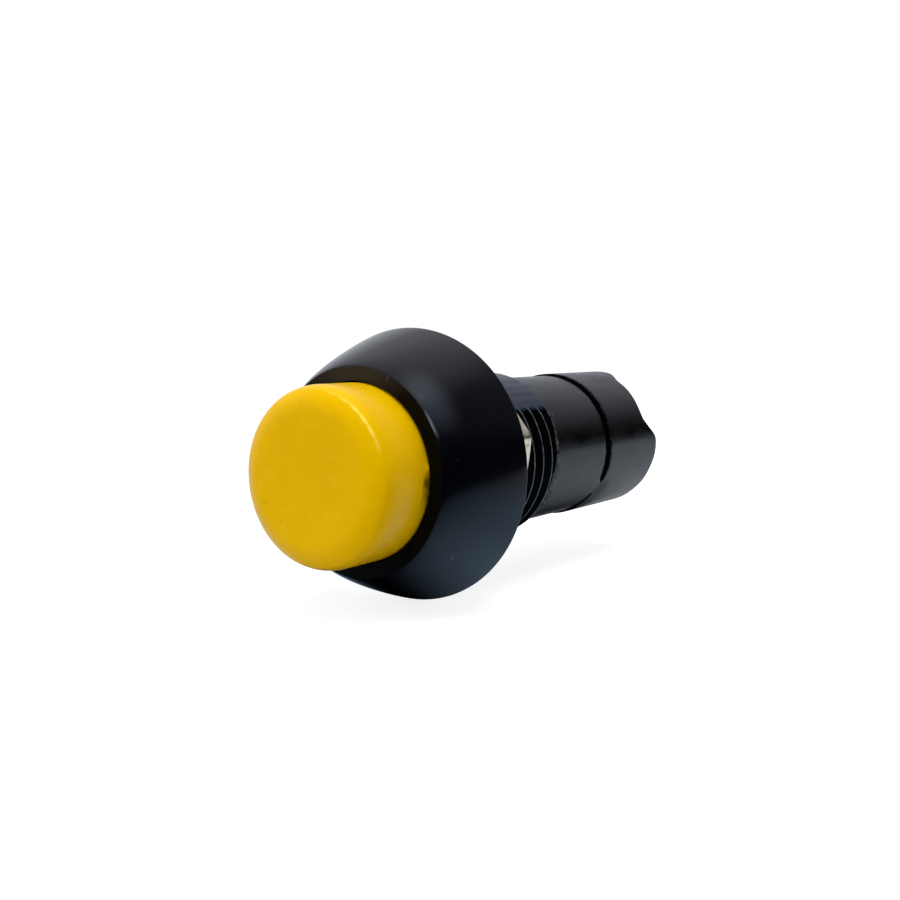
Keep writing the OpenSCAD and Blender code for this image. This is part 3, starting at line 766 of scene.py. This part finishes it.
def seenRays(tree):  # 1 for what the camera, gloss or glass sees
    path = addNode(tree, "ShaderNodeLightPath").outputs
    seen = addNode(tree, "ShaderNodeMath", {0: path["Is Camera Ray"], 1: path["Is Glossy Ray"]},
                   operation="MAXIMUM").outputs[0]
    return addNode(tree, "ShaderNodeMath", {0: seen, 1: path["Is Transmission Ray"]},
                   operation="MAXIMUM").outputs[0]


world = bpy.data.worlds.new("Studio")
world.use_nodes = True
bpy.context.scene.world = world
tree = world.node_tree
tree.nodes.clear()
fill = addNode(tree, "ShaderNodeBackground", {"Color": toLinear(studio["ambientTone"]),
                                              "Strength": studio["ambient"]})
backdrop = addNode(tree, "ShaderNodeBackground", {"Color": white, "Strength": 1})
both = addNode(tree, "ShaderNodeMixShader", {0: seenRays(tree), 1: fill.outputs[0], 2: backdrop.outputs[0]})
addNode(tree, "ShaderNodeOutputWorld", {"Surface": both.outputs[0]})

floorMaterial, tree = emptyMaterial("Studio_floor")
paint = addNode(tree, "ShaderNodeBsdfDiffuse", {"Color": [studio["floorTone"]] * 3 + [1]})
glow = addNode(tree, "ShaderNodeEmission", {"Color": white, "Strength": studio["floorGlow"]})
lit = addNode(tree, "ShaderNodeAddShader", {0: paint.outputs[0], 1: glow.outputs[0]})
plain = addNode(tree, "ShaderNodeBsdfDiffuse", {"Color": [studio["floorBounce"]] * 3 + [1]})
both = addNode(tree, "ShaderNodeMixShader", {0: seenRays(tree), 1: plain.outputs[0], 2: lit.outputs[0]})
addNode(tree, "ShaderNodeOutputMaterial", {"Surface": both.outputs[0]})
half, level = studio["floorSize"] / 2, cadBox[0][2] / mm - studio["floorDrop"]
floorCorners = [(-half, -half, level), (half, -half, level), (half, half, level), (-half, half, level)]
addStage("floor", floorCorners, [(0, 1, 2, 3)], floorMaterial)

glowMaterial, tree = emptyMaterial("Glow_for_gloss")
glowColour = addNode(tree, "ShaderNodeAttribute", attribute_name="glow").outputs["Color"]
glow = addNode(tree, "ShaderNodeEmission", {"Color": glowColour})
addNode(tree, "ShaderNodeOutputMaterial", {"Surface": glow.outputs[0]})
around = np.linspace(0, tau, 145)

# a light tent round the set: bright overhead and at -X, dark at +X, and low down dark but at -X
# glow = level + up * height - right * x, with height and x as shares of the radius
tentSizes = {
    "radius": 260, "tone": "#f0f4ff", "least": 0.004,
    "rise": (-3, 0, 2, 4, 6, 8, 10, 12, 15, 18, 21, 25, 30, 35, 40, 45, 50, 55, 60, 65, 70, 75, 80, 85, 89),
    "overhead": {"level": -1.6, "up": 2.75, "right": 0.9, "most": 0.83},
    "sides": {"level": 0.61, "right": 0.6, "left": 0.4, "topLoss": 0.4, "topFade": (0.5, 0.8),
              "lowFade": (0.1, 0.45), "leftFade": (-0.1, -0.45)},
}


def buildTent():
    s = tentSizes
    rows = np.array([np.stack([math.cos(rise) * np.cos(around), math.cos(rise) * np.sin(around),
                               np.full_like(around, math.sin(rise))], axis=-1) for rise in np.radians(s["rise"])])
    right, up = rows[..., 0], rows[..., 2]
    top, side = s["overhead"], s["sides"]
    overhead = np.clip(top["level"] + top["up"] * up - top["right"] * right, 0, top["most"])
    sides = side["level"] - side["right"] * np.maximum(right, side["left"] * right)
    sides = sides * (1 - side["topLoss"] * smoothStep(*side["topFade"], up))
    sides = sides * np.maximum(smoothStep(*side["lowFade"], up), smoothStep(*side["leftFade"], right))
    glow = np.maximum(np.maximum(overhead, sides), s["least"])
    addStage("light_tent", *loft(rows * s["radius"]), glowMaterial, glow.ravel(), toLinear(s["tone"])[:3])


# a card on the floor, dark under the switch and towards the front right: the gloss shows it as the shaded floor
cardSizes = {
    "middle": 9, "lift": 0.01, "hub": 0.01, "near": (1, 40, 40), "far": (44, 262, 22), "under": (-9, 27),
    "fade": 6.3, "steepness": 3, "rearLoss": 1.5, "rearFrom": (0, 20), "frontGlow": 1.2, "rearGlow": 0.8,
    "darkSide": {"x": 0.5, "y": 0.87, "start": 5, "width": 16, "least": 0.01},
    "frontTone": "#bfe0ff", "rearTone": "#e9f3ff",
}


def buildCard():
    s = cardSizes
    reach = np.concatenate([[s["hub"]], np.linspace(*s["near"]), np.geomspace(*s["far"])])
    middle = (0, s["middle"], level + s["lift"])
    rows = np.array([roundAxis(around, r, 0)[:, [0, 2, 1]] + middle for r in reach])
    x, y = rows[..., 0], rows[..., 1]
    behind = smoothStep(*s["rearFrom"], y)
    away = np.hypot(x, y - np.clip(y, *s["under"]))
    glow = 1 - np.exp(-(away / s["fade"]) ** (s["steepness"] - s["rearLoss"] * behind))
    dark = s["darkSide"]
    glow = glow * np.clip(1 - (dark["x"] * x - dark["y"] * y - dark["start"]) / dark["width"], dark["least"], 1)
    glow = glow * (s["frontGlow"] * (1 - behind) + s["rearGlow"] * behind)
    behind = behind.ravel()[:, None]
    tones = [np.array(toLinear(s[tone])[:3]) for tone in ("frontTone", "rearTone")]
    addStage("grey_card", *loft(rows), glowMaterial, glow.ravel(), tones[0] * (1 - behind) + tones[1] * behind)


buildTent()
buildCard()

softboxes = {  # place, aim and width in mm, power in watts
    "softbox_above": {"place": (40, -20, 330), "aim": (0, 5, 0), "width": 260, "power": 1.15},
    "softbox_front": {"place": (-150, -300, 160), "aim": (0, 0, 0), "width": 200, "power": 0.5},
}
for name, s in softboxes.items():
    lamp = bpy.data.lights.new(name, "AREA")
    lamp.shape, lamp.size, lamp.energy = "DISK", s["width"] * mm, s["power"]
    box = bpy.data.objects.new(name, lamp)
    bpy.context.scene.collection.objects.link(box)
    box.location = Vector(s["place"]) * mm
    box.rotation_euler = (Vector(s["aim"]) - Vector(s["place"])).to_track_quat("-Z", "Y").to_euler()
    box.visible_glossy = False  # the tent stands for it in the gloss
print("studio set")


# camera: place, aim, reach of what is shown, lens and sensor in mm

view = {"place": (44.34, -59.94, 8.16), "aim": (-0.772, 5.676, 0.464), "lens": 45.29, "sensor": 36,
        "nearest": 1, "farthest": 10000}
lens = bpy.data.cameras.new("camera")
lens.lens, lens.sensor_width = view["lens"], view["sensor"]
lens.clip_start, lens.clip_end = view["nearest"] * mm, view["farthest"] * mm
camera = bpy.data.objects.new("camera", lens)
bpy.context.scene.collection.objects.link(camera)
camera.location = Vector(view["place"]) * mm
camera.rotation_euler = (Vector(view["aim"]) - Vector(view["place"])).to_track_quat("-Z", "Y").to_euler()
bpy.context.scene.camera = camera
bpy.context.scene.view_settings.view_transform = "Standard"
